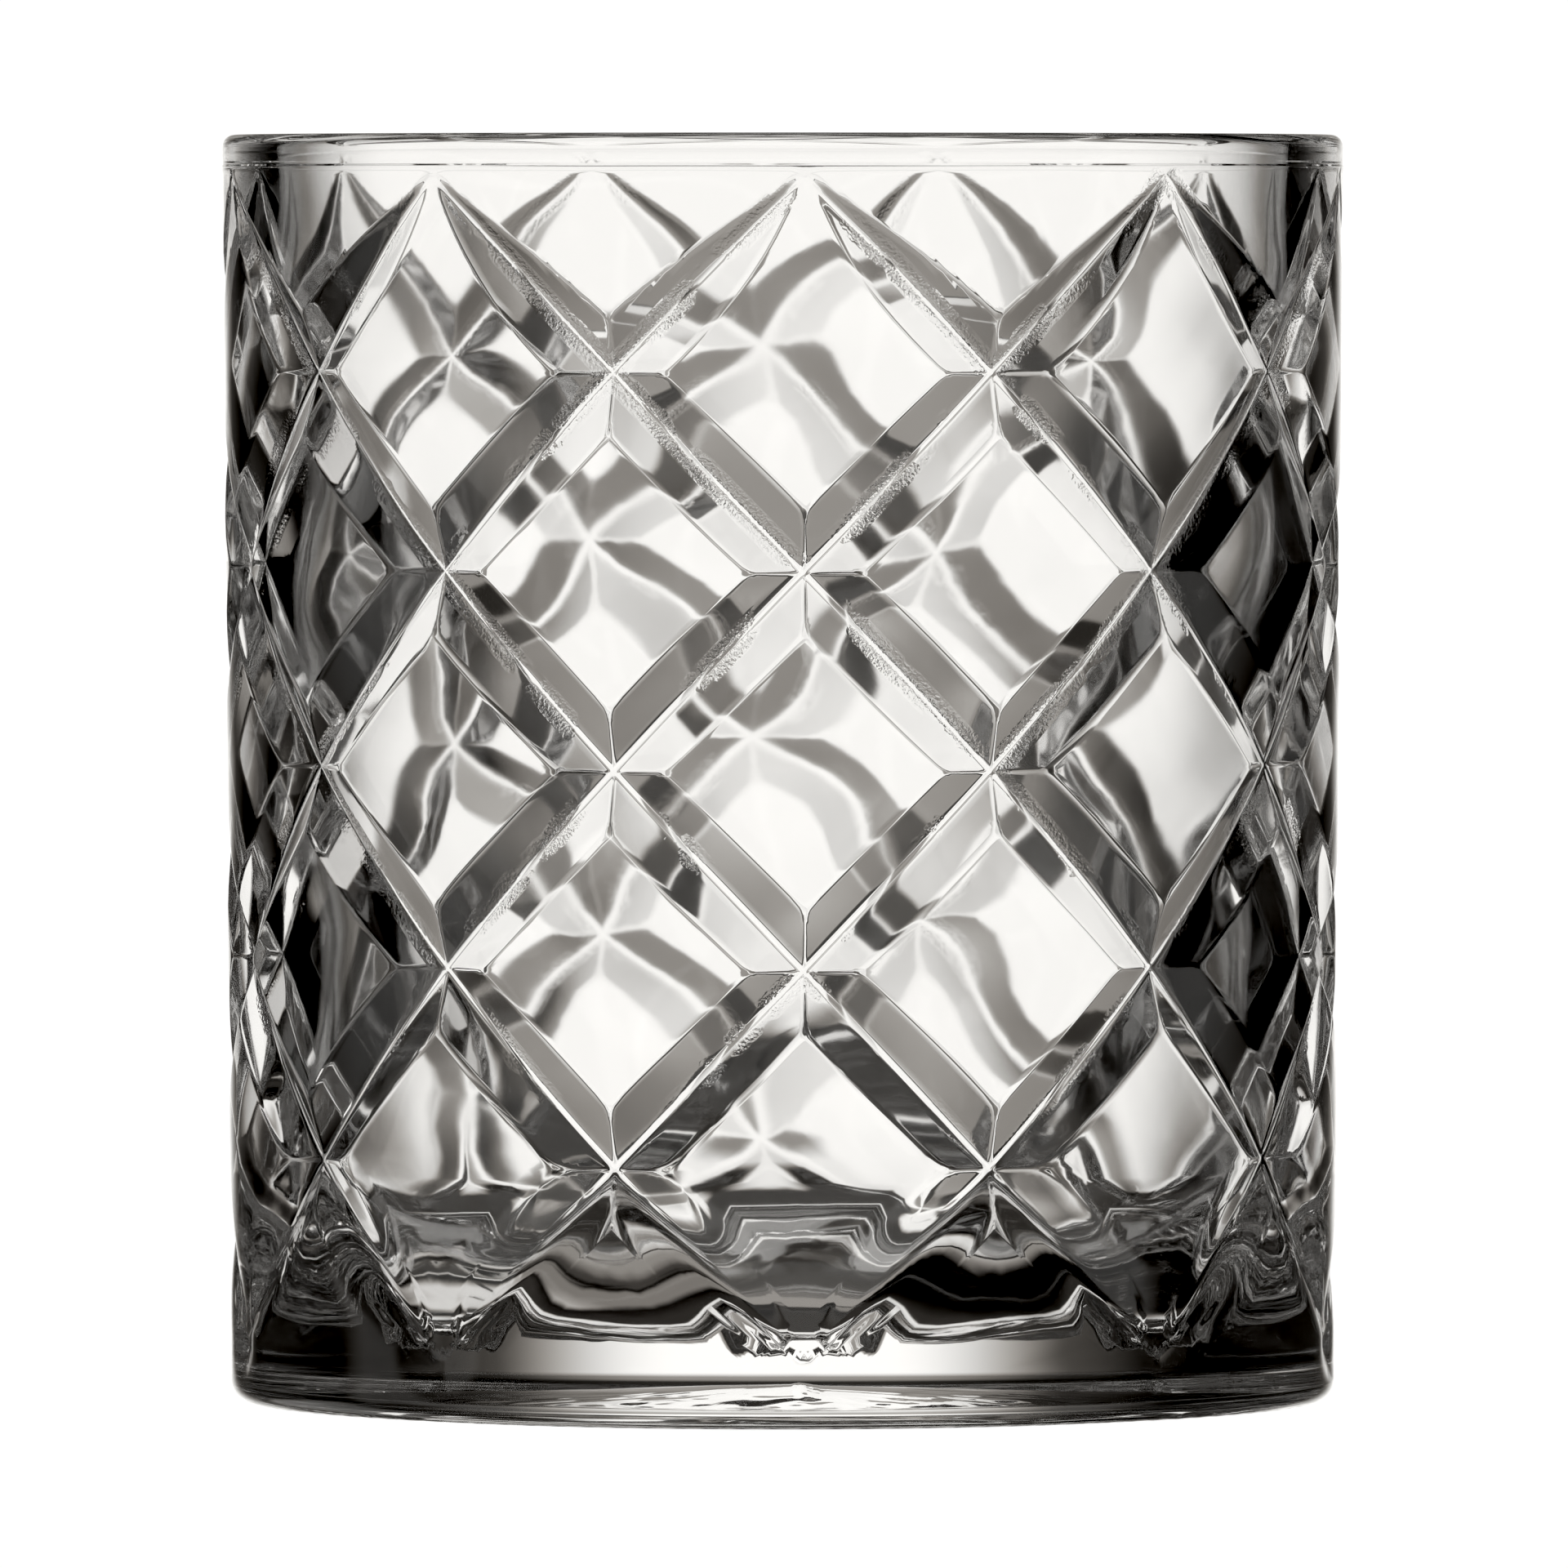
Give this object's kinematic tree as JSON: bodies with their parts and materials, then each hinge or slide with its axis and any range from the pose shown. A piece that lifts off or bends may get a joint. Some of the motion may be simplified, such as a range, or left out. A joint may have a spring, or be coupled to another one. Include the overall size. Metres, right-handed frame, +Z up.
{
  "type": "whiskey tumbler",
  "caption": "Clear pressed-glass tumbler: straight wall with a raised diamond pattern, plain band under the rim, thick base and a narrow foot ring.",
  "frame": {"origin": "centre of the foot ring, on the plane that the glass stands on", "axes": "+Z up along the glass's own axis towards the rim; -Y is the front seen in the picture; +X is to its right"},
  "size_m": [0.084, 0.084, 0.0951],
  "materials": {
    "clear_glass": "clear colourless pressed glass, fire-polished, faintly frosted along the groove bottoms"
  },
  "bodies": {
    "root": {"glass_tumbler": "clear_glass"}
  },
  "joints": []
}
